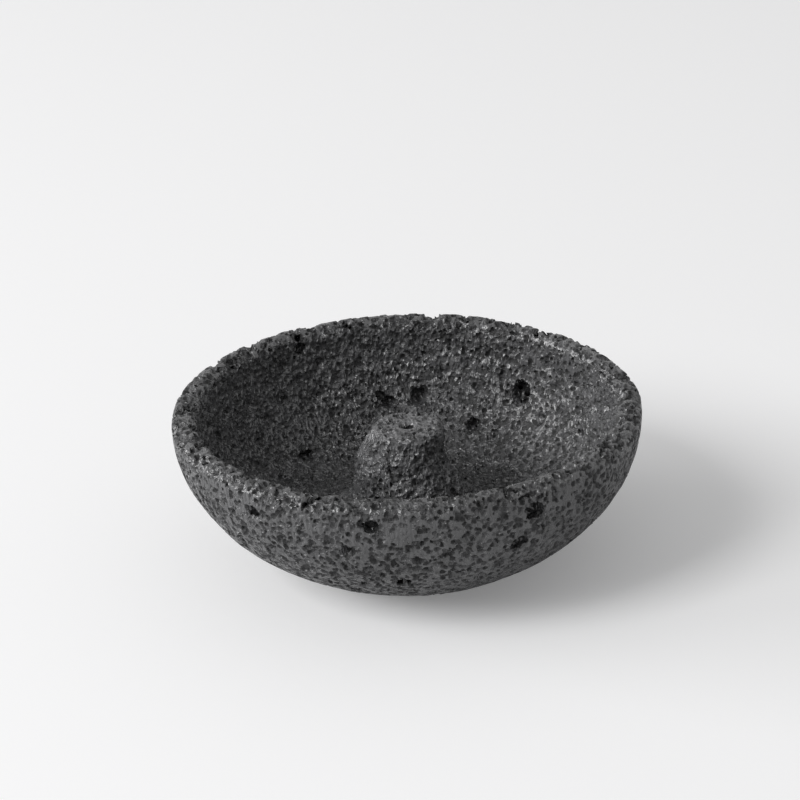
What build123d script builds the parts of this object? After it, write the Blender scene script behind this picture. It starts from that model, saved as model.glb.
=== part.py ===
"""Incense stick holder: a lava-stone bowl with a drilled cone rising from its floor, standing on felt pads.

Millimetres, +Z up. The origin is on the table, under the middle of the bowl.
"""

from build123d import *
import math
import os

# Bowl, turned from one block of lava stone
BOWL_DIAMETER = 110.0
BOWL_HEIGHT = 39.0
WALL = 6.0
RIM_CROWN = 2.4
FOOT_DIAMETER = 48.0
FLOOR = 7.5

# Cone in the middle of the bowl, cut from the same block
CONE_HEIGHT = 24.0
CONE_TOP_DIAMETER = 16.5
CONE_TAPER = 16.0
CONE_FLARE = 15.0
CONE_SHOULDER = 1.6

# Hole drilled down the cone for the stick, with a worn mouth and a drill-point end
HOLE_DIAMETER = 3.2
HOLE_DEPTH = 16.0
MOUTH_DIAMETER = 4.6
MOUTH_DEPTH = 0.9
DRILL_POINT = 118.0

# Felt pads glued under the foot, evenly round a circle from the azimuth of the first
PAD_NAMES = ("rear", "front_left", "front_right")
FIRST_PAD = 90.0
PAD_DIAMETER = 10.0
PAD_THICKNESS = 1.2
PAD_CIRCLE = 32.0
PAD_EDGE = 0.3

# Gas bubbles that the carving has cut open: their diameters, how far a bubble's middle is sunk as a share
# of its radius, and the share of the wall that a bubble may cut away
SMALL_BUBBLE = 3.2
MIDDLE_BUBBLE = 4.2
LARGE_BUBBLE = 5.6
BUBBLE_SINK = 0.25
WALL_SHARE = 1 / 3
# Each row is azimuth, climb up the wall and diameter. Azimuth 0 is +X. The climb runs from 0 at the bottom
# of the ellipse that shapes the wall to 90 at the rim. Both are in degrees.
INNER_BUBBLES = (
    (52, 61, LARGE_BUBBLE),
    (66, 38, SMALL_BUBBLE),
    (86, 52, MIDDLE_BUBBLE),
    (96, 50, SMALL_BUBBLE),
    (132, 28, SMALL_BUBBLE),
    (122, 87, SMALL_BUBBLE),
)
OUTER_BUBBLES = (
    (-99, 86, SMALL_BUBBLE),
    (-60, 85, MIDDLE_BUBBLE),
    (-63, 73, MIDDLE_BUBBLE),
    (-92, 59, SMALL_BUBBLE),
    (-129, 84, SMALL_BUBBLE),
    (-105, 75, SMALL_BUBBLE),
)
# Chips out of the crest of the rim, left by small bubbles whose middles were above it: the azimuths of those
# seen, and how far round the crown they lean, to the outside on the far rim and to the inside on the near one
RIM_CHIPS = (127, 115, 62, 50, 28, -33, -79, -157, 170)
CHIP_SINK = -0.35
CHIP_LEAN = 35.0
# Deep bubbles scattered over an arc of the far outside wall and of the near inside wall, from these azimuths
REAR_BUBBLES = 11
REAR_FROM = 0.0
NEAR_BUBBLES = 6
NEAR_FROM = 187.0
DEEP_ARC = 170.0
LOWEST_DEEP = 40.0
HIGHEST_DEEP = 84.0
# Pits all over the stone, where the tool has only grazed a bubble: how many, the climbs that they keep to on
# the walls, the share of the way down the cone from which they start, and the sinks that they lie between
OUTER_PITS = 220
INNER_PITS = 170
CONE_PITS = 16
RIM_PITS = 44
LOWEST_OUTER_PIT = 28.0
LOWEST_INNER_PIT = 10.0
HIGHEST_PIT = 82.0
FIRST_CONE_PIT = 0.25
DEEPEST_PIT = -0.45
SHALLOWEST_PIT = -0.65
# The least stone that is left between two bubbles, where one of them is a pit
SEPTUM = 0.5

# Sizes worked out from those above
bowl_radius = BOWL_DIAMETER / 2
inner_radius = bowl_radius - WALL
crest_radius = bowl_radius - WALL / 2
foot_radius = FOOT_DIAMETER / 2
foot_z = PAD_THICKNESS
rim_z = BOWL_HEIGHT - RIM_CROWN
outer_depth = (rim_z - foot_z) / math.sqrt(1 - (foot_radius / bowl_radius) ** 2)

floor_z = foot_z + FLOOR
cone_top_z = floor_z + CONE_HEIGHT
cone_top_radius = CONE_TOP_DIAMETER / 2
taper = math.radians(CONE_TAPER)
flare_top_z = floor_z + CONE_FLARE * (1 - math.sin(taper))
flare_top_radius = cone_top_radius + (cone_top_z - flare_top_z) * math.tan(taper)
trough_radius = flare_top_radius + CONE_FLARE * math.cos(taper)
inner_across = inner_radius - trough_radius
inner_depth = rim_z - floor_z

hole_radius = HOLE_DIAMETER / 2
mouth_radius = MOUTH_DIAMETER / 2
hole_bottom_z = cone_top_z - HOLE_DEPTH
hole_tip_z = hole_bottom_z - hole_radius / math.tan(math.radians(DRILL_POINT / 2))

# Steps of this share of a whole never fall on the same place twice
golden = (math.sqrt(5) - 1) / 2


def stone_section():
    """Half of the stone's section, on the XZ plane from the axis outwards."""
    wall_sweep = math.degrees(math.acos(foot_radius / bowl_radius))
    outline = [
        Line((0, foot_z), (foot_radius, foot_z)),
        EllipticalCenterArc((0, rim_z), bowl_radius, outer_depth, -wall_sweep, arc_size=wall_sweep),
        EllipticalCenterArc((crest_radius, rim_z), WALL / 2, RIM_CROWN, 0, arc_size=180),
        EllipticalCenterArc((trough_radius, rim_z), inner_across, inner_depth, -90, arc_size=90),
        CenterArc((trough_radius, floor_z + CONE_FLARE), CONE_FLARE, 180 + CONE_TAPER, 90 - CONE_TAPER),
        Polyline(
            (flare_top_radius, flare_top_z),
            (cone_top_radius, cone_top_z),
            (mouth_radius, cone_top_z),
            (hole_radius, cone_top_z - MOUTH_DEPTH),
            (hole_radius, hole_bottom_z),
            (0, hole_tip_z),
            (0, foot_z),
        ),
    ]
    section = make_face(outline)
    shoulder = section.vertices().sort_by_distance((cone_top_radius, cone_top_z))[0]
    return Plane.XZ * fillet(shoulder, CONE_SHOULDER)


def bubble(radius, z, slope, azimuth, diameter, sink):
    """A sphere that opens the stone at (radius, z). Slope is the direction out of the stone there."""
    reach = min(sink * diameter / 2, WALL * WALL_SHARE - diameter / 2)
    middle = (radius - reach * math.cos(slope), 0, z - reach * math.sin(slope))
    pole_outwards = Rot(0, 90 - math.degrees(slope), 0)
    return Rot(0, 0, azimuth) * Pos(*middle) * pole_outwards * Sphere(diameter / 2)


def inner_bubble(azimuth, climb, diameter, sink=BUBBLE_SINK):
    """A bubble on the inside wall, whose section is a quarter ellipse above the trough."""
    turn = math.radians(climb)
    radius = trough_radius + inner_across * math.sin(turn)
    z = rim_z - inner_depth * math.cos(turn)
    slope = math.atan2(inner_across * math.cos(turn), -inner_depth * math.sin(turn))
    return bubble(radius, z, slope, azimuth, diameter, sink)


def outer_bubble(azimuth, climb, diameter, sink=BUBBLE_SINK):
    """A bubble on the outside wall, whose section is part of an ellipse about the bowl's axis."""
    turn = math.radians(climb)
    radius = bowl_radius * math.sin(turn)
    z = rim_z - outer_depth * math.cos(turn)
    slope = math.atan2(-bowl_radius * math.cos(turn), outer_depth * math.sin(turn))
    return bubble(radius, z, slope, azimuth, diameter, sink)


def cone_bubble(azimuth, drop, diameter, sink):
    """A bubble on the cone's side. Drop is the share of the way down it, from its top to its flare."""
    radius = between(cone_top_radius, flare_top_radius, drop)
    z = between(cone_top_z, flare_top_z, drop)
    return bubble(radius, z, taper, azimuth, diameter, sink)


def rim_chip(azimuth, lean, sink=CHIP_SINK):
    """A chip out of the rim, whose crown is half an ellipse. Lean is how far out it sits, as degrees of that."""
    turn = math.radians(lean)
    radius = crest_radius + WALL / 2 * math.sin(turn)
    z = rim_z + RIM_CROWN * math.cos(turn)
    slope = math.atan2(WALL / 2 * math.cos(turn), RIM_CROWN * math.sin(turn))
    return bubble(radius, z, slope, azimuth, SMALL_BUBBLE, sink)


def between(low, high, share):
    """The value at that share of the way from low to high."""
    return low + (high - low) * share


def scattered(i, power):
    """A share from 0 to 1 for the i-th of many: spread evenly at power 1, mixed up at higher powers."""
    return (golden * i**power) % 1


def deep_bubbles(count, first_azimuth):
    """Azimuths, climbs and diameters of deep bubbles over an arc of a wall."""
    for i in range(count):
        climb = between(LOWEST_DEEP, HIGHEST_DEEP, (i + 0.5) / count)
        diameter = between(SMALL_BUBBLE, MIDDLE_BUBBLE, scattered(i, 2))
        yield first_azimuth + DEEP_ARC * scattered(i, 1), climb, diameter


def wall_pits(count, lowest):
    """Azimuths, climbs, diameters and sinks of pits all round a wall, at even steps of height."""
    bottom = math.cos(math.radians(lowest))
    top = math.cos(math.radians(HIGHEST_PIT))
    for i in range(count):
        climb = math.degrees(math.acos(between(bottom, top, (i + 0.5) / count)))
        diameter = between(SMALL_BUBBLE, MIDDLE_BUBBLE, scattered(i, 2))
        yield 360 * scattered(i, 1), climb, diameter, between(SHALLOWEST_PIT, DEEPEST_PIT, scattered(i, 3))


def cone_pits():
    """Azimuths, drops, diameters and sinks of pits all round the cone."""
    for i in range(CONE_PITS):
        drop = between(FIRST_CONE_PIT, 1, (i + 0.5) / CONE_PITS)
        yield 360 * scattered(i, 1), drop, SMALL_BUBBLE, between(SHALLOWEST_PIT, DEEPEST_PIT, scattered(i, 3))


def rim_pits():
    """Azimuths, leans and sinks of pits all round the rim."""
    for i in range(RIM_PITS):
        lean = between(-CHIP_LEAN, CHIP_LEAN, scattered(i, 2))
        yield 360 * i / RIM_PITS, lean, between(SHALLOWEST_PIT, DEEPEST_PIT, scattered(i, 3))


def clear_of(sphere, others):
    """Whether enough stone is left between a sphere and all others."""
    gaps = [(sphere.position - other.position).length - sphere.radius - other.radius for other in others]
    return min(gaps) > SEPTUM


def stone_bowl():
    """The whole stone: bowl, rim and cone in one piece, with the hole and the cut-open bubbles."""
    bubbles = [inner_bubble(*row) for row in INNER_BUBBLES]
    bubbles += [outer_bubble(*row) for row in OUTER_BUBBLES]
    bubbles += [rim_chip(azimuth, math.copysign(CHIP_LEAN, azimuth)) for azimuth in RIM_CHIPS]
    bubbles += [outer_bubble(*row) for row in deep_bubbles(REAR_BUBBLES, REAR_FROM)]
    bubbles += [inner_bubble(*row) for row in deep_bubbles(NEAR_BUBBLES, NEAR_FROM)]
    pits = [rim_chip(*row) for row in rim_pits()]
    pits += [cone_bubble(*row) for row in cone_pits()]
    pits += [outer_bubble(*row) for row in wall_pits(OUTER_PITS, LOWEST_OUTER_PIT)]
    pits += [inner_bubble(*row) for row in wall_pits(INNER_PITS, LOWEST_INNER_PIT)]
    for pit in pits:
        if clear_of(pit, bubbles):
            bubbles.append(pit)
    return revolve(stone_section(), Axis.Z) - bubbles


def felt_pad(azimuth):
    """A round felt pad between the table and the stone's foot, with its lower edge eased."""
    pad = Cylinder(PAD_DIAMETER / 2, PAD_THICKNESS, align=(Align.CENTER, Align.CENTER, Align.MIN))
    pad = fillet(pad.edges().sort_by(Axis.Z)[0], PAD_EDGE)
    return Rot(0, 0, azimuth) * Pos(PAD_CIRCLE / 2, 0, 0) * pad


os.makedirs("parts", exist_ok=True)
export_step(stone_bowl(), "parts/stone_bowl.step")
for i, name in enumerate(PAD_NAMES):
    export_step(felt_pad(FIRST_PAD + 360 * i / len(PAD_NAMES)), f"parts/felt_pad_{name}.step")
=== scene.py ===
"""Looks of an incense stick holder: a lava-stone bowl with a drilled cone, on felt pads. Metres, +Z up."""

import math

import bmesh
import bpy
from mathutils import Matrix, Vector
from mathutils.bvhtree import BVHTree


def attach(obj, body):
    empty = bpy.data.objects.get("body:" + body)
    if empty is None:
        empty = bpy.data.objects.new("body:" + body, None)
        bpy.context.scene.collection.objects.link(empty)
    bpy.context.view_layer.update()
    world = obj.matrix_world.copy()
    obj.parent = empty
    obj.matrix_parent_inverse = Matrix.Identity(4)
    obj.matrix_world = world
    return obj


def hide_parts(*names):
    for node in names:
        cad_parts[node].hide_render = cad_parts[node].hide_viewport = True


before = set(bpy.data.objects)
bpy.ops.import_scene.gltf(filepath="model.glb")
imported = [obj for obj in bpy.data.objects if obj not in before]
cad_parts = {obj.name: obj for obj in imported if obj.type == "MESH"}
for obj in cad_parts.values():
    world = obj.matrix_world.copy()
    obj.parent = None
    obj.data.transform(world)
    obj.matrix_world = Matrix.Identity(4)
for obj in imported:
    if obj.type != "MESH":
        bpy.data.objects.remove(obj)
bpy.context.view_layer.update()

# Stone bowl.
# One block of black lava stone, turned to a bowl with a cone left standing in its middle, and drilled for the
# stick. The tool has cut open the lava's gas bubbles, so every face is pores with thin walls between them.
MM = 0.001
STONE_GRID = 0.28 * MM
STONE_TRIANGLES = 198_000
SHARP_EDGE = math.radians(40)
# Points of a CAD mesh that are nearer to each other than this are one point
SAME_POINT = 0.001 * MM
# The hand-finished surface swells and sinks by this much in all, over this distance
SWELL_HEIGHT = 0.8 * MM
SWELL_LENGTH = 12 * MM
# The cone and the trough are only roughly cut: how high and how long the lumps are, the radii between which
# they fade out, and the height above which a face there is inside the bowl
ROUGH_HEIGHT = 1.7 * MM
ROUGH_LENGTH = 2.4 * MM
ROUGH_FROM = 31.0 * MM
ROUGH_TO = 34.0 * MM
INSIDE_FLOOR = 7.0 * MM
# The waist of the cone leans to the left: how far at most, the heights where the lean starts, is greatest and
# ends, and the radii between which it fades out
CONE_LEAN = 1.7 * MM
LEAN_FROM = 14.0 * MM
LEAN_AT = 24.7 * MM
LEAN_TO = 32.4 * MM
CONE_FROM = 14.0 * MM
CONE_TO = 19.0 * MM
# Classes of scattered bubble: distance between them, least and greatest radius, share of places with one, how
# deep they are as a share of whole bubbles, seed
BUBBLES = {
    "large": (8.0 * MM, 1.0 * MM, 1.6 * MM, 0.2, 0.9, 0.3),
    "middle": (2.4 * MM, 0.55 * MM, 0.9 * MM, 0.3, 0.8, 1.1),
    "fine": (1.18 * MM, 0.46 * MM, 0.74 * MM, 1.0, 0.9, 2.3),
}
# Chips and crumbs out of the rim, given in the same way. Their share grows from nothing to that value
# between two heights.
RIM_BREAKS = {
    "chip": (4.2 * MM, 1.6 * MM, 2.5 * MM, 0.85, 0.4, 3.7),
    "crumb": (2.2 * MM, 0.8 * MM, 1.2 * MM, 0.8, 0.6, 5.1),
}
RIM_FROM = 35.8 * MM
RIM_TO = 37.6 * MM
# Pits in the ground faces, given in the same way. Too fine for the mesh, they are only in the material.
PITS = (0.7 * MM, 0.15 * MM, 0.32 * MM, 0.6, 1.0, 7.9)
# What the first three values of a class are called in the names of the tree's inputs
LENGTH_WORDS = ("spacing", "smallest", "largest")
# Places are moved by up to half of this either way, which bends the bubbles out of round
BUBBLE_WARP = 0.5 * MM
# Large hollows seen on the inside and outside wall: azimuth in degrees, height and radius in millimetres
INNER_HOLLOWS = (
    (52, 23.1, 2.5),
    (66, 14.6, 1.7),
    (86, 19.4, 2.0),
    (96, 18.7, 1.7),
    (132, 12.0, 1.8),
    (122, 35.1, 1.6),
    (95, 25.0, 1.1),
)
OUTER_HOLLOWS = (
    (-99, 33.9, 1.8),
    (-60, 33.2, 2.2),
    (-63, 25.1, 2.1),
    (-92, 16.3, 1.6),
    (-129, 32.5, 1.3),
    (-88, 29.0, 1.1),
    (-76, 27.6, 1.1),
)
# The same for the hollows, and the distance over which the movement changes
HOLLOW_WARP = 1.6 * MM
HOLLOW_BEND = 4.0 * MM
# A hollow's middle stands this share of its radius out from the face that the cast ray meets
HOLLOW_OUT = 0.35
# Radii from which the rays are cast, outwards at the inside wall and inwards at the outside wall
INSIDE_START = 30 * MM
OUTSIDE_START = 80 * MM
# No hollow, chip or crumb reaches farther in than this, so that those on the two faces of the wall don't meet
DEEPEST = 2.8 * MM
# The drilled hole stays clean to the first radius, and bubbles are whole from the second, above this height
HOLE_EDGE = 2.2 * MM
HOLE_CLEAR = 3.4 * MM
HOLE_FROM = 10 * MM


def add_node(tree, kind, inputs=None, **settings):
    """A new node, with its inputs linked to sockets or set to values."""
    node = tree.nodes.new(kind)
    for name, value in settings.items():
        setattr(node, name, value)
    for key, value in (inputs or {}).items():
        if isinstance(value, bpy.types.NodeSocket):
            tree.links.new(value, node.inputs[key])
        else:
            node.inputs[key].default_value = value
    return node


def number(tree, operation, *values):
    """One step of arithmetic on numbers."""
    return add_node(tree, "ShaderNodeMath", dict(enumerate(values)), operation=operation).outputs[0]


def vector(tree, operation, *values):
    """One step of arithmetic on vectors that gives a vector."""
    node = add_node(tree, "ShaderNodeVectorMath", dict(enumerate(values)), operation=operation)
    return node.outputs["Vector"]


def scaled(tree, direction, length):
    """A vector times a number."""
    inputs = {"Vector": direction, "Scale": length}
    return add_node(tree, "ShaderNodeVectorMath", inputs, operation="SCALE").outputs["Vector"]


def dot(tree, first, second):
    """The dot product of two vectors."""
    inputs = {0: first, 1: second}
    return add_node(tree, "ShaderNodeVectorMath", inputs, operation="DOT_PRODUCT").outputs["Value"]


def ramp(tree, value, low, high, to_low=0.0, to_high=1.0):
    """A smooth step from to_low at low to to_high at high."""
    inputs = {"Value": value, "From Min": low, "From Max": high, "To Min": to_low, "To Max": to_high}
    return add_node(tree, "ShaderNodeMapRange", inputs, interpolation_type="SMOOTHSTEP").outputs["Result"]


def noise(tree, place, often, detail):
    """Noise from 0 to 1 with about that many swings to the metre, and finer ones on them with more detail."""
    inputs = {"Vector": place, "Scale": often, "Detail": detail}
    return add_node(tree, "ShaderNodeTexNoise", inputs).outputs["Fac"]


def bent(tree, place, length, warp):
    """A place moved about by noise that changes over that length."""
    often = number(tree, "DIVIDE", 1.0, length)
    ways = add_node(tree, "ShaderNodeTexNoise", {"Vector": place, "Scale": often}).outputs["Color"]
    middled = vector(tree, "SUBTRACT", ways, (0.5, 0.5, 0.5))
    return vector(tree, "ADD", place, scaled(tree, middled, warp))


def between_colours(tree, value, spread, colours):
    """The first colour up to the start of the spread, the second from its end, and a blend between them."""
    node = add_node(tree, "ShaderNodeValToRGB", {"Fac": value})
    for element, position, colour in zip(node.color_ramp.elements, spread, colours):
        element.position = position
        element.color = colour
    return node.outputs["Color"]


def new_tree(name, sizes):
    """A Geometry Nodes tree that takes a mesh and sizes. Returns it and the sockets of what it takes."""
    tree = bpy.data.node_groups.new(name, "GeometryNodeTree")
    tree.interface.new_socket("Geometry", in_out="INPUT", socket_type="NodeSocketGeometry")
    for size in sizes:
        tree.interface.new_socket(size, in_out="INPUT", socket_type="NodeSocketFloat")
    tree.interface.new_socket("Geometry", in_out="OUTPUT", socket_type="NodeSocketGeometry")
    return tree, tree.nodes.new("NodeGroupInput").outputs


def end_tree(tree, geometry, material):
    """Makes that geometry, with that material, what the tree gives."""
    inputs = {"Geometry": geometry, "Material": material}
    geometry = add_node(tree, "GeometryNodeSetMaterial", inputs).outputs["Geometry"]
    tree.links.new(geometry, tree.nodes.new("NodeGroupOutput").inputs["Geometry"])


def use_tree(piece, tree, sizes):
    """Puts a tree on a piece as a modifier, with its sizes set."""
    modifier = piece.modifiers.new(tree.name, "NODES")
    modifier.node_group = tree
    for item in tree.interface.items_tree:
        if item.in_out == "INPUT" and item.name in sizes:
            modifier[item.identifier] = sizes[item.name]


def shown(name, mesh):
    """A new object in the scene with that mesh."""
    piece = bpy.data.objects.new(name, mesh)
    bpy.context.scene.collection.objects.link(piece)
    return piece


def made_plain(piece, name):
    """A new object with the mesh that the piece's modifiers give. The piece itself is removed."""
    scene_now = bpy.context.evaluated_depsgraph_get()
    evaluated = piece.evaluated_get(scene_now)
    mesh = bpy.data.meshes.new_from_object(evaluated, preserve_all_data_layers=True, depsgraph=scene_now)
    mesh.name = name
    bpy.data.objects.remove(piece)
    return shown(name, mesh)


def merged_copy(node):
    """A copy of a CAD node's mesh, with its loose triangles joined and its material taken off."""
    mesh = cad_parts[node].data.copy()
    work = bmesh.new()
    work.from_mesh(mesh)
    bmesh.ops.remove_doubles(work, verts=work.verts, dist=SAME_POINT)
    work.to_mesh(mesh)
    work.free()
    mesh.materials.clear()
    return mesh


def on_even_grid(piece, side):
    """Gives a piece faces of an even size, small enough to carve."""
    grid = piece.modifiers.new("even_grid", "REMESH")
    grid.mode = "VOXEL"
    grid.voxel_size = side
    grid.use_smooth_shade = True


def hollow_places(mesh):
    """The middles of the large hollows, as points that carry their radii. Each is found by casting a ray."""
    wall = BVHTree.FromPolygons([v.co for v in mesh.vertices], [face.vertices for face in mesh.polygons])
    rows = [(INSIDE_START, 1, *row) for row in INNER_HOLLOWS]
    rows += [(OUTSIDE_START, -1, *row) for row in OUTER_HOLLOWS]
    middles = []
    radii = []
    for start, sign, azimuth, height, radius in rows:
        turn = math.radians(azimuth)
        out = Vector((math.cos(turn), math.sin(turn), 0))
        met = wall.ray_cast(out * start + Vector((0, 0, height * MM)), out * sign)[0]
        middles.append(met - out * sign * radius * MM * HOLLOW_OUT)
        radii.append(radius * MM)
    points = bpy.data.meshes.new("hollow_places")
    points.from_pydata(middles, [], [])
    points.attributes.new("radius", "FLOAT", "POINT").data.foreach_set("value", radii)
    return shown("hollow_places", points)


def about_axis(tree, place):
    """How far a place is from the bowl's axis, and how high it is."""
    split = add_node(tree, "ShaderNodeSeparateXYZ", {"Vector": place}).outputs
    flat = add_node(tree, "ShaderNodeCombineXYZ", {"X": split["X"], "Y": split["Y"]}).outputs["Vector"]
    from_axis = add_node(tree, "ShaderNodeVectorMath", {0: flat}, operation="LENGTH").outputs["Value"]
    return from_axis, split["Z"]


def off_hole(tree, from_axis, height, edge, clear, lowest):
    """Nothing in the stick hole, rising to one away from it and below it."""
    below = number(tree, "LESS_THAN", height, lowest)
    return number(tree, "MAXIMUM", ramp(tree, from_axis, edge, clear), below)


def spheres_at(tree, place, spacing, smallest, largest, share, seed):
    """Scattered spheres: the way to a place from the middle of the nearest one, and that one's radius."""
    moved = vector(tree, "ADD", bent(tree, place, spacing, BUBBLE_WARP), (seed, seed, seed))
    often = number(tree, "DIVIDE", 1.0, spacing)
    cells = add_node(tree, "ShaderNodeTexVoronoi", {"Vector": moved, "Scale": often}).outputs
    chance = add_node(tree, "ShaderNodeSeparateXYZ", {"Vector": cells["Color"]}).outputs
    radius = ramp(tree, chance["X"], 0.0, 1.0, smallest, largest)
    there = number(tree, "LESS_THAN", chance["Y"], share)
    return vector(tree, "SUBTRACT", moved, cells["Position"]), number(tree, "MULTIPLY", radius, there)


def depth_in(tree, outward, from_middle, radius):
    """How deep a sphere is under a place on the surface, against the outward way."""
    above = dot(tree, from_middle, outward)
    squared = number(tree, "MULTIPLY", radius, radius)
    room = number(tree, "SUBTRACT", squared, dot(tree, from_middle, from_middle))
    half_chord = number(tree, "SQRT", number(tree, "MULTIPLY_ADD", above, above, room))
    inside = number(tree, "GREATER_THAN", room, 0.0)
    return number(tree, "MULTIPLY", number(tree, "ADD", above, half_chord), inside)


def class_depth(tree, place, outward, lengths, share, deep, seed):
    """How deep the bubbles of one class are under a place."""
    from_middle, radius = spheres_at(tree, place, *lengths, share, seed)
    return number(tree, "MULTIPLY", depth_in(tree, outward, from_middle, radius), deep)


def class_lengths():
    """The lengths of each class of bubble, by the names of the tree's inputs."""
    rows = (RIM_BREAKS | BUBBLES).items()
    return {f"{name} {word}": size for name, row in rows for word, size in zip(LENGTH_WORDS, row)}


def lengths_of(given, name):
    """The tree's inputs that hold the lengths of a class of bubble."""
    return [given[f"{name} {word}"] for word in LENGTH_WORDS]


def surface_height(tree, given, place, from_axis, z):
    """How far the hand-cut surface stands out: a long swell, and lumps on the cone and in the trough."""
    often = number(tree, "DIVIDE", 1.0, given["Swell length"])
    swell = number(tree, "SUBTRACT", noise(tree, place, often, 3.0), 0.5)
    height = number(tree, "MULTIPLY", swell, given["Swell height"])
    often = number(tree, "DIVIDE", 1.0, given["Rough length"])
    lumps = number(tree, "SUBTRACT", noise(tree, place, often, 2.0), 0.5)
    rough = ramp(tree, from_axis, given["Rough from"], given["Rough to"], 1.0, 0.0)
    rough = number(tree, "MULTIPLY", rough, number(tree, "GREATER_THAN", z, given["Inside floor"]))
    rough = number(tree, "MULTIPLY", rough, given["Rough height"])
    return number(tree, "MULTIPLY_ADD", lumps, rough, height)


def cone_lean(tree, given, from_axis, z, free):
    """The way that a place on the cone's waist is moved: to the left, and not at the stick hole."""
    below = ramp(tree, z, given["Lean from"], given["Lean at"])
    over = ramp(tree, z, given["Lean at"], given["Lean to"], 1.0, 0.0)
    on_cone = ramp(tree, from_axis, given["Cone from"], given["Cone to"], 1.0, 0.0)
    at_waist = number(tree, "MULTIPLY", below, over)
    lean = number(tree, "MULTIPLY", at_waist, number(tree, "MULTIPLY", on_cone, free))
    aside = number(tree, "MULTIPLY", lean, number(tree, "MULTIPLY", given["Lean"], -1.0))
    return add_node(tree, "ShaderNodeCombineXYZ", {"X": aside}).outputs["Vector"]


def hollow_depth(tree, given, hollows, place, outward):
    """How deep the nearest of the large hollows is under a place."""
    points = add_node(tree, "GeometryNodeObjectInfo", {"Object": hollows}).outputs["Geometry"]
    where = bent(tree, place, given["Hollow bend"], given["Hollow warp"])
    nearest = add_node(tree, "GeometryNodeSampleNearest", {"Geometry": points, "Sample Position": where})
    inputs = {"Geometry": points, "Value": place, "Index": nearest.outputs["Index"]}
    middle = add_node(tree, "GeometryNodeSampleIndex", inputs, data_type="FLOAT_VECTOR").outputs["Value"]
    radii = add_node(tree, "GeometryNodeInputNamedAttribute", {"Name": "radius"}).outputs["Attribute"]
    radius = add_node(tree, "GeometryNodeSampleIndex", inputs | {"Value": radii}).outputs["Value"]
    return depth_in(tree, outward, vector(tree, "SUBTRACT", where, middle), radius)


def porous_stone_tree(hollows, sizes):
    """Makes the turned stone uneven and leans its cone, cuts the hollows and the breaks in the rim, then the
    bubbles. Keeps as attributes how deep in a hollow each point is, and where it was and which way it faced
    before the bubbles were cut."""
    tree, given = new_tree("porous_stone", sizes)
    place = add_node(tree, "GeometryNodeInputPosition").outputs["Position"]
    normal = add_node(tree, "GeometryNodeInputNormal").outputs["Normal"]
    from_axis, z = about_axis(tree, place)
    free = off_hole(tree, from_axis, z, given["Hole edge"], given["Hole clear"], given["Hole from"])

    hollow = hollow_depth(tree, given, hollows, place, normal)
    at_rim = ramp(tree, z, given["Rim from"], given["Rim to"])
    gone = hollow
    for name, (*_, share, deep, seed) in RIM_BREAKS.items():
        share = number(tree, "MULTIPLY", at_rim, share)
        broken = class_depth(tree, place, normal, lengths_of(given, name), share, deep, seed)
        gone = number(tree, "MAXIMUM", gone, broken)
    gone = number(tree, "MINIMUM", gone, given["Deepest"])
    height = surface_height(tree, given, place, from_axis, z)
    height = number(tree, "MULTIPLY", number(tree, "SUBTRACT", height, gone), free)
    offset = vector(tree, "ADD", scaled(tree, normal, height), cone_lean(tree, given, from_axis, z, free))

    kept = add_node(tree, "GeometryNodeCaptureAttribute", {"Geometry": given["Geometry"]})
    kept.capture_items.new("FLOAT", "hollow")
    tree.links.new(hollow, kept.inputs["hollow"])
    inputs = {"Geometry": kept.outputs["Geometry"], "Offset": offset}
    stone = add_node(tree, "GeometryNodeSetPosition", inputs).outputs["Geometry"]
    for name, kind, value in (
        ("hollow", "FLOAT", kept.outputs["hollow"]),
        ("start", "FLOAT_VECTOR", place),
        ("outward", "FLOAT_VECTOR", normal),
    ):
        inputs = {"Geometry": stone, "Name": name, "Value": value}
        stored = add_node(tree, "GeometryNodeStoreNamedAttribute", inputs, data_type=kind)
        stone = stored.outputs["Geometry"]

    depth = 0.0
    for name, (*_, share, deep, seed) in BUBBLES.items():
        cut = class_depth(tree, place, normal, lengths_of(given, name), share, deep, seed)
        depth = number(tree, "MAXIMUM", depth, cut)
    inwards = number(tree, "MULTIPLY", number(tree, "MULTIPLY", depth, free), -1.0)
    inputs = {"Geometry": stone, "Offset": scaled(tree, normal, inwards)}
    stone = add_node(tree, "GeometryNodeSetPosition", inputs).outputs["Geometry"]
    end_tree(tree, stone, lava_stone)
    return tree


# Colours of the stone's darkest and palest patches, the noise values where they lie, patches to the metre
STONE_COLOURS = ((0.058, 0.058, 0.060, 1), (0.084, 0.084, 0.087, 1))
PATCH_SPREAD = (0.35, 0.65)
PATCHES_PER_METRE = 110.0
# Gloss of the stone, and how rough it is in its pores and pits
STONE_GLOSS = 0.8
PORE_ROUGHNESS = 0.75
PIT_ROUGHNESS = 0.5
# Depths between which a pore turns dull, and the depth by which a pit has
PORE_DULL = (0.04 * MM, 0.3 * MM)
PIT_DULL = 0.2 * MM
# Grains of the stone: how many to the metre, what places are multiplied by to draw the grains out upwards,
# the noise values of the lowest and highest of them, and how rough those two are
GRAINS_PER_METRE = 1300.0
GRAIN_DRAW = (1.0, 1.0, 0.45)
GRAIN_SPREAD = (0.3, 0.7)
GRAIN_ROUGHNESS = (0.36, 0.24)
# How high the grains are outside and inside the bowl, and how much is added inside. What is added fades out
# towards the right, between two places.
OUTSIDE_GRAIN = 0.65 * MM
INSIDE_GRAIN = 0.4 * MM
HIGHER_GRAIN = 0.7 * MM
HIGHER_FADE = (20 * MM, 34 * MM)
# Radii between which the trough ends, and the depth to which a pore counts as relief in the material
TROUGH_END = (31 * MM, 33 * MM)
BUMP_DEEPEST = 0.5 * MM
# Painted shade in the pores: how dark a pore is painted at this depth, as a share of the stone round it
PORE_PAINTED_SHADE = 0.12
PORE_DARKEST_AT = 0.8 * MM
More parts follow.
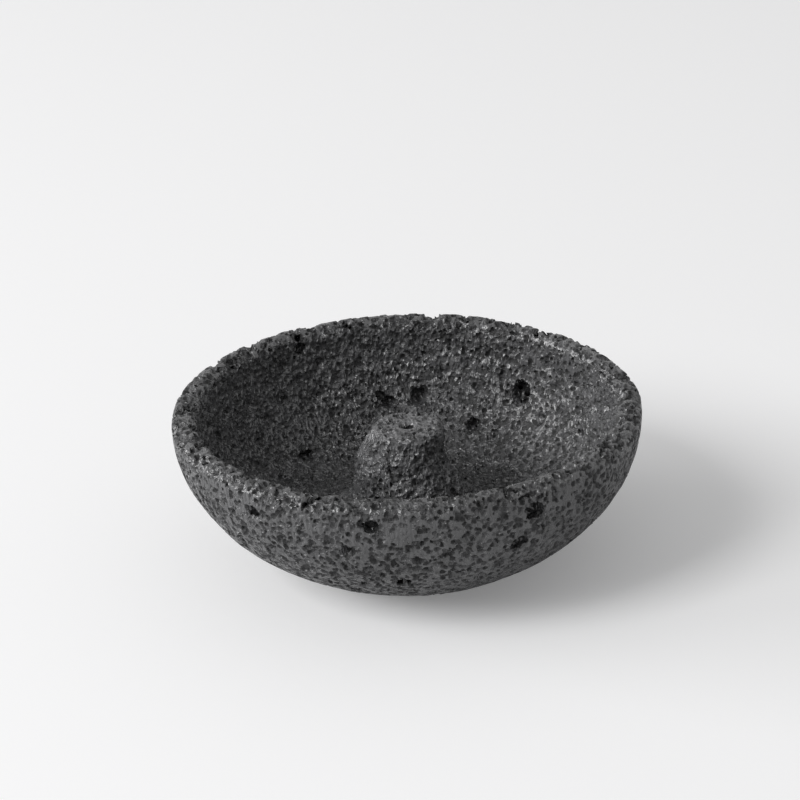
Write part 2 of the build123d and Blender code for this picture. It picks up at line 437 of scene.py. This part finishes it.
# How much weaker the painted pore shade is on the left inside and on the front outside, and between which
# places that fades out, from left to right and from front to rear
LEFT_PALER = 0.36
LEFT_FADE = (-10 * MM, 25 * MM)
FRONT_PALER = 0.3
FRONT_FADE = (-50 * MM, -20 * MM)
# How dark the painted shade turns in the large hollows between two depths, and in the stick hole between two
# radii
HOLLOW_PAINTED_SHADE = 0.25
HOLLOW_DARKENS = (0.3 * MM, 1.4 * MM)
HOLE_PAINTED_SHADE = 0.25
HOLE_DARKENS = (1.5 * MM, 2.1 * MM)
# How much paler than the rest the inside wall, the cone and the trough are, where less than 0 is darker. The
# cone's paleness is painted light and the trough's darkness painted shade. The cone's value turns to the
# trough's between the first radii, and the trough's fades out between the last.
WALL_PALER = 0.2
CONE_PAINTED_LIGHT = 0.6
TROUGH_PAINTED_SHADE = -0.3
CONE_FOOT = (14 * MM, 24 * MM)
TROUGH_FADE = (30 * MM, 38 * MM)


def lava_stone_material():
    """Dark, slightly cool grey basalt: glossy ground faces and crystals between dull pores, darkened by
    painted shade.
    """
    material = bpy.data.materials.new("lava_stone")
    material.use_nodes = True
    tree = material.node_tree
    shader = tree.nodes["Principled BSDF"]
    shader.inputs["Specular IOR Level"].default_value = STONE_GLOSS
    start = add_node(tree, "ShaderNodeAttribute", attribute_name="start").outputs["Vector"]
    outward = add_node(tree, "ShaderNodeAttribute", attribute_name="outward").outputs["Vector"]
    hollow = add_node(tree, "ShaderNodeAttribute", attribute_name="hollow").outputs["Fac"]
    split = add_node(tree, "ShaderNodeSeparateXYZ", {"Vector": start}).outputs
    from_axis, z = about_axis(tree, start)

    depth = 0.0
    for *lengths, share, deep, seed in BUBBLES.values():
        cut = class_depth(tree, start, outward, lengths, share, deep, seed)
        depth = number(tree, "MAXIMUM", depth, cut)
    depth = number(tree, "MULTIPLY", depth, off_hole(tree, from_axis, z, HOLE_EDGE, HOLE_CLEAR, HOLE_FROM))
    *lengths, share, deep, seed = PITS
    pit = class_depth(tree, start, outward, lengths, share, deep, seed)
    above_floor = number(tree, "GREATER_THAN", z, INSIDE_FLOOR)
    in_trough = number(tree, "MULTIPLY", ramp(tree, from_axis, *TROUGH_END, 1.0, 0.0), above_floor)
    inner_wall = number(tree, "LESS_THAN", dot(tree, start, outward), 0.0)
    inside = number(tree, "MAXIMUM", inner_wall, in_trough)
    outside = number(tree, "SUBTRACT", 1.0, inside)

    patches = noise(tree, start, PATCHES_PER_METRE, 5.0)
    colour = between_colours(tree, patches, PATCH_SPREAD, STONE_COLOURS)
    # Painted shade in the pores, darker with depth and weaker on the left inside and on the front outside
    paler = number(tree, "MULTIPLY", inside, ramp(tree, split["X"], *LEFT_FADE, LEFT_PALER, 0.0))
    paler_front = ramp(tree, split["Y"], *FRONT_FADE, FRONT_PALER, 0.0)
    paler = number(tree, "MULTIPLY_ADD", outside, paler_front, paler)
    shade = ramp(tree, depth, 0.0, PORE_DARKEST_AT, 1.0, number(tree, "ADD", paler, PORE_PAINTED_SHADE))
    shade = number(tree, "MULTIPLY", shade, number(tree, "MULTIPLY_ADD", inner_wall, WALL_PALER, 1.0))
    # Painted shade in the large hollows and in the stick hole
    shade = number(tree, "MULTIPLY", shade, ramp(tree, hollow, *HOLLOW_DARKENS, 1.0, HOLLOW_PAINTED_SHADE))
    off_drilled = off_hole(tree, from_axis, z, *HOLE_DARKENS, HOLE_FROM)
    shade = number(tree, "MULTIPLY", shade, ramp(tree, off_drilled, 0.0, 1.0, HOLE_PAINTED_SHADE, 1.0))
    # Painted light on the cone and painted shade in the trough around it
    painted_cone_light_and_trough_shade = ramp(tree, from_axis, *CONE_FOOT, CONE_PAINTED_LIGHT, TROUGH_PAINTED_SHADE)
    painted_cone_light_and_trough_shade = number(tree, "MULTIPLY", painted_cone_light_and_trough_shade, above_floor)
    painted_cone_light_and_trough_shade = number(tree, "MULTIPLY", painted_cone_light_and_trough_shade, ramp(tree, from_axis, *TROUGH_FADE, 1.0, 0.0))
    shade = number(tree, "MULTIPLY_ADD", shade, painted_cone_light_and_trough_shade, shade)
    tree.links.new(scaled(tree, colour, shade), shader.inputs["Base Color"])

    grains = noise(tree, vector(tree, "MULTIPLY", start, GRAIN_DRAW), GRAINS_PER_METRE, 0.6)
    ground = ramp(tree, grains, *GRAIN_SPREAD, *GRAIN_ROUGHNESS)
    in_pore = number(tree, "MULTIPLY", ramp(tree, depth, *PORE_DULL), PORE_ROUGHNESS)
    in_pit = number(tree, "MULTIPLY", ramp(tree, pit, 0.0, PIT_DULL), PIT_ROUGHNESS)
    roughness = number(tree, "MAXIMUM", ground, number(tree, "MAXIMUM", in_pore, in_pit))
    tree.links.new(roughness, shader.inputs["Roughness"])

    sunk = number(tree, "MINIMUM", number(tree, "MAXIMUM", depth, pit), BUMP_DEEPEST)
    higher = ramp(tree, split["X"], *HIGHER_FADE, HIGHER_GRAIN, 0.0)
    grain_height = ramp(tree, outside, 0.0, 1.0, INSIDE_GRAIN, OUTSIDE_GRAIN)
    grain_height = number(tree, "MULTIPLY_ADD", inside, higher, grain_height)
    height = number(tree, "MULTIPLY_ADD", grains, grain_height, number(tree, "MULTIPLY", sunk, -1.0))
    inputs = {"Height": height, "Normal": outward, "Distance": 1.0, "Strength": 1.0}
    bump = add_node(tree, "ShaderNodeBump", inputs)
    tree.links.new(bump.outputs["Normal"], shader.inputs["Normal"])
    return material


lava_stone = lava_stone_material()
stone_sizes = class_lengths() | {
    "Swell height": SWELL_HEIGHT,
    "Swell length": SWELL_LENGTH,
    "Rough height": ROUGH_HEIGHT,
    "Rough length": ROUGH_LENGTH,
    "Rough from": ROUGH_FROM,
    "Rough to": ROUGH_TO,
    "Inside floor": INSIDE_FLOOR,
    "Lean": CONE_LEAN,
    "Lean from": LEAN_FROM,
    "Lean at": LEAN_AT,
    "Lean to": LEAN_TO,
    "Cone from": CONE_FROM,
    "Cone to": CONE_TO,
    "Hollow warp": HOLLOW_WARP,
    "Hollow bend": HOLLOW_BEND,
    "Deepest": DEEPEST,
    "Rim from": RIM_FROM,
    "Rim to": RIM_TO,
    "Hole edge": HOLE_EDGE,
    "Hole clear": HOLE_CLEAR,
    "Hole from": HOLE_FROM,
}
as_turned = merged_copy("stone_bowl")
hollows = hollow_places(as_turned)
stone = shown("stone_as_turned", as_turned)
on_even_grid(stone, STONE_GRID)
use_tree(stone, porous_stone_tree(hollows, stone_sizes), stone_sizes)
stone = made_plain(stone, "carved_stone")
bpy.data.objects.remove(hollows)
fewer = stone.modifiers.new("fewer_faces", "DECIMATE")
fewer.ratio = min(1.0, STONE_TRIANGLES / sum(len(face.vertices) - 2 for face in stone.data.polygons))
stone = made_plain(stone, "porous_stone_bowl")
stone.data.set_sharp_from_angle(angle=SHARP_EDGE)
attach(stone, "root")
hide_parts("stone_bowl")

# Felt pads.
# Three discs punched from dark pressed wool felt and glued under the stone's foot, so that it doesn't scratch
# the table. Loose fibres stand out of the cut edge and the underside.
PAD_GRID = 0.16 * MM
FELT_SIZES = {
    "Lint height": 0.12 * MM,
    "Lint length": 0.5 * MM,
    "Fibre length": 0.9 * MM,
    "Fibre radius": 0.012 * MM,
    "Fibre density": 11 / MM**2,
    # Fibres that would pass through the table or the stone are laid flat at these heights
    "Lowest": 0.01 * MM,
    "Highest": 1.2 * MM,
}
# Faces that look up by more than this are a pad's top, which has no fibres
TOP_FACES = 0.5
# How far fibres tilt either way, in radians, and the shortest and longest as shares of the fibre length
FIBRE_TILT = 0.5
FIBRE_SHORTEST = 0.4
FIBRE_LONGEST = 1.3
# Strands and tufts of matted fibre to the metre, how crooked the strands are and how deep the matting is
STRANDS_PER_METRE = 1200.0
TUFTS_PER_METRE = 900.0
STRAND_BEND = 14.0
MATTING_DEPTH = 0.1 * MM
# Colours of the darkest and palest fibres and how rough they are, with the noise values where these lie
FELT_COLOURS = ((0.050, 0.047, 0.044, 1), (0.115, 0.108, 0.100, 1))
COLOUR_SPREAD = (0.05, 0.55)
FELT_ROUGHNESS = (0.98, 0.85)
ROUGHNESS_SPREAD = (0.0, 0.6)
FELT_SHEEN = 0.3
SHEEN_ROUGHNESS = 0.5
FELT_GLOSS = 0.2


def felt_tree():
    """Roughens a pad and sets bent fibres on its edge and underside."""
    tree, given = new_tree("felt", FELT_SIZES)
    place = add_node(tree, "GeometryNodeInputPosition").outputs["Position"]
    normal = add_node(tree, "GeometryNodeInputNormal").outputs["Normal"]
    often = number(tree, "DIVIDE", 1.0, given["Lint length"])
    lint = number(tree, "SUBTRACT", noise(tree, place, often, 3.0), 1.0)
    sunk = number(tree, "MULTIPLY", lint, given["Lint height"])
    inputs = {"Geometry": given["Geometry"], "Offset": scaled(tree, normal, sunk)}
    pad = add_node(tree, "GeometryNodeSetPosition", inputs).outputs["Geometry"]

    upward = add_node(tree, "ShaderNodeSeparateXYZ", {"Vector": normal}).outputs["Z"]
    not_top = number(tree, "LESS_THAN", upward, TOP_FACES)
    inputs = {"Mesh": pad, "Selection": not_top, "Density": given["Fibre density"], "Seed": 5}
    roots = add_node(tree, "GeometryNodeDistributePointsOnFaces", inputs).outputs
    # One fibre, of length 1: a bent line with a three-sided skin
    inputs = {"Resolution": 3, "Start": (0, 0, 0), "Middle": (0.5, 0.2, 0.4), "End": (1, 0, 0.2)}
    line = add_node(tree, "GeometryNodeCurveQuadraticBezier", inputs).outputs["Curve"]
    thin = number(tree, "DIVIDE", given["Fibre radius"], given["Fibre length"])
    inputs = {"Resolution": 3, "Radius": thin}
    ring = add_node(tree, "GeometryNodeCurvePrimitiveCircle", inputs).outputs["Curve"]
    inputs = {"Curve": line, "Profile Curve": ring, "Fill Caps": True}
    fibre = add_node(tree, "GeometryNodeCurveToMesh", inputs).outputs["Mesh"]
    inputs = {"Min": (-FIBRE_TILT, -FIBRE_TILT, 0), "Max": (FIBRE_TILT, FIBRE_TILT, math.tau), "Seed": 7}
    turn = add_node(tree, "FunctionNodeRandomValue", inputs, data_type="FLOAT_VECTOR").outputs["Value"]
    inputs = {"Rotation": roots["Rotation"], "Rotate By": turn}
    turned = add_node(tree, "FunctionNodeRotateRotation", inputs, rotation_space="LOCAL")
    inputs = {2: FIBRE_SHORTEST, 3: FIBRE_LONGEST, "Seed": 9}
    spread = add_node(tree, "FunctionNodeRandomValue", inputs).outputs[1]
    inputs = {"Points": roots["Points"], "Instance": fibre, "Rotation": turned.outputs["Rotation"]}
    inputs["Scale"] = number(tree, "MULTIPLY", spread, given["Fibre length"])
    fibres = add_node(tree, "GeometryNodeInstanceOnPoints", inputs).outputs["Instances"]

    both = add_node(tree, "GeometryNodeJoinGeometry")
    tree.links.new(fibres, both.inputs["Geometry"])
    tree.links.new(pad, both.inputs["Geometry"])
    inputs = {"Geometry": both.outputs["Geometry"]}
    felt = add_node(tree, "GeometryNodeRealizeInstances", inputs).outputs["Geometry"]
    split = add_node(tree, "ShaderNodeSeparateXYZ", {"Vector": place}).outputs
    inputs = {"Value": split["Z"], "Min": given["Lowest"], "Max": given["Highest"]}
    level = add_node(tree, "ShaderNodeClamp", inputs).outputs["Result"]
    inputs = {"X": split["X"], "Y": split["Y"], "Z": level}
    laid = add_node(tree, "ShaderNodeCombineXYZ", inputs).outputs["Vector"]
    inputs = {"Geometry": felt, "Position": laid}
    felt = add_node(tree, "GeometryNodeSetPosition", inputs).outputs["Geometry"]
    end_tree(tree, felt, pressed_felt)
    return tree


def pressed_felt_material():
    """Charcoal wool felt: matted fibres of several greys with a soft sheen."""
    material = bpy.data.materials.new("pressed_felt")
    material.use_nodes = True
    tree = material.node_tree
    shader = tree.nodes["Principled BSDF"]
    shader.inputs["Sheen Weight"].default_value = FELT_SHEEN
    shader.inputs["Sheen Roughness"].default_value = SHEEN_ROUGHNESS
    shader.inputs["Specular IOR Level"].default_value = FELT_GLOSS
    place = add_node(tree, "ShaderNodeTexCoord").outputs["Object"]
    inputs = {"Vector": place, "Scale": STRANDS_PER_METRE, "Distortion": STRAND_BEND, "Detail": 3.0}
    strands = add_node(tree, "ShaderNodeTexWave", inputs).outputs["Fac"]
    tone = number(tree, "MULTIPLY", strands, noise(tree, place, TUFTS_PER_METRE, 4.0))
    colour = between_colours(tree, tone, COLOUR_SPREAD, FELT_COLOURS)
    tree.links.new(colour, shader.inputs["Base Color"])
    tree.links.new(ramp(tree, tone, *ROUGHNESS_SPREAD, *FELT_ROUGHNESS), shader.inputs["Roughness"])
    bump = add_node(tree, "ShaderNodeBump", {"Height": tone, "Distance": MATTING_DEPTH, "Strength": 0.8})
    tree.links.new(bump.outputs["Normal"], shader.inputs["Normal"])
    return material


pressed_felt = pressed_felt_material()
felt = felt_tree()
for side in ("rear", "front_left", "front_right"):
    pad = shown("punched_disc", merged_copy(f"felt_pad_{side}"))
    on_even_grid(pad, PAD_GRID)
    use_tree(pad, felt, FELT_SIZES)
    pad = made_plain(pad, f"fibrous_pad_{side}")
    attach(pad, "root")
    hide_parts(f"felt_pad_{side}")

# Table and light.
# A plain pale table top, a soft box high at the left in front, a lower one at the left, and pale light from
# all round. The camera sees the table's shadows a little lighter than they fall.
FLOOR_SIDE = 8.0
FLOOR_COLOUR = (0.86, 0.86, 0.865, 1)
FLOOR_ROUGHNESS = 0.7
FLOOR_GLOSS = 0.1
SHADOW_LIFT = 0.20
BOX_DISTANCE = 2.4
# Each soft box: azimuth and elevation in degrees, width and height in metres, watts
SOFT_BOXES = (
    (-145, 37, 0.88, 1.20, 33.0),
    (176, 15, 1.50, 0.96, 36.0),
)
SKY_STRENGTH = 0.35


def table_top():
    """The pale surface that the bowl stands on."""
    half = FLOOR_SIDE / 2
    mesh = bpy.data.meshes.new("table_top")
    corners = [(-half, -half, 0), (half, -half, 0), (half, half, 0), (-half, half, 0)]
    mesh.from_pydata(corners, [], [(0, 1, 2, 3)])
    material = bpy.data.materials.new("pale_table")
    material.use_nodes = True
    tree = material.node_tree
    matt = tree.nodes["Principled BSDF"]
    matt.inputs["Base Color"].default_value = FLOOR_COLOUR
    matt.inputs["Roughness"].default_value = FLOOR_ROUGHNESS
    matt.inputs["Specular IOR Level"].default_value = FLOOR_GLOSS
    to_camera = add_node(tree, "ShaderNodeLightPath").outputs["Is Camera Ray"]
    lift = number(tree, "MULTIPLY", to_camera, SHADOW_LIFT)
    glow = add_node(tree, "ShaderNodeEmission", {"Color": FLOOR_COLOUR, "Strength": lift}).outputs["Emission"]
    both = add_node(tree, "ShaderNodeAddShader", {0: matt.outputs["BSDF"], 1: glow}).outputs["Shader"]
    tree.links.new(both, tree.nodes["Material Output"].inputs["Surface"])
    mesh.materials.append(material)
    return shown("table_top", mesh)


def soft_box(azimuth, elevation, width, height, power):
    """A lamp that faces the middle of the table."""
    light = bpy.data.lights.new("soft_box", "AREA")
    light.shape = "RECTANGLE"
    light.size = width
    light.size_y = height
    light.energy = power
    lamp = bpy.data.objects.new("soft_box", light)
    around = math.radians(azimuth)
    above = math.radians(elevation)
    way = Vector((math.cos(above) * math.cos(around), math.cos(above) * math.sin(around), math.sin(above)))
    lamp.location = way * BOX_DISTANCE
    lamp.rotation_euler = (math.pi / 2 - above, 0, around + math.pi / 2)
    lamp.visible_camera = False
    bpy.context.scene.collection.objects.link(lamp)


def pale_surroundings():
    """Even light from all round. What the camera and reflections see of it is as pale as the table."""
    world = bpy.data.worlds.new("pale_surroundings")
    world.use_nodes = True
    tree = world.node_tree
    sky = tree.nodes["Background"]
    sky.inputs["Color"].default_value = (1, 1, 1, 1)
    rays = add_node(tree, "ShaderNodeLightPath").outputs
    seen = number(tree, "MAXIMUM", rays["Is Camera Ray"], rays["Is Transmission Ray"])
    seen = number(tree, "MAXIMUM", seen, rays["Is Glossy Ray"])
    strength = ramp(tree, seen, 0.0, 1.0, SKY_STRENGTH, FLOOR_COLOUR[0])
    tree.links.new(strength, sky.inputs["Strength"])
    bpy.context.scene.world = world


table_top()
for row in SOFT_BOXES:
    soft_box(*row)
pale_surroundings()
bpy.context.scene.view_settings.view_transform = "Standard"

# Camera.
# It stands in front of the bowl and looks down into it, with the bowl low in the picture.
CAMERA_DISTANCE = 0.6
CAMERA_TARGET = Vector((0, 0, 0.020))
CAMERA_ELEVATION = math.radians(26.1)
CAMERA_ROLL = math.radians(-1.85)
SENSOR = 36.0
LENS = 113.9
# How far the target lies right of and above the middle of the picture, as shares of the picture's side
PICTURE_SIDE = 800
TARGET_RIGHT = 8.7 / PICTURE_SIDE
TARGET_UP = -73.2 / PICTURE_SIDE


def photo_camera():
    """A camera that looks at the target, then tips so that the target moves to its place in the picture."""
    lens = bpy.data.cameras.new("camera")
    lens.sensor_width = SENSOR
    lens.lens = LENS
    back = Vector((0, -math.cos(CAMERA_ELEVATION), math.sin(CAMERA_ELEVATION)))
    look = back.to_track_quat("Z", "Y").to_matrix().to_4x4() @ Matrix.Rotation(CAMERA_ROLL, 4, "Z")
    wanted = Vector((TARGET_RIGHT * SENSOR, TARGET_UP * SENSOR, -LENS))
    tip = wanted.rotation_difference(Vector((0, 0, -1))).to_matrix().to_4x4()
    camera = bpy.data.objects.new("camera", lens)
    camera.matrix_world = Matrix.Translation(CAMERA_TARGET + back * CAMERA_DISTANCE) @ look @ tip
    bpy.context.scene.collection.objects.link(camera)
    bpy.context.scene.camera = camera


photo_camera()
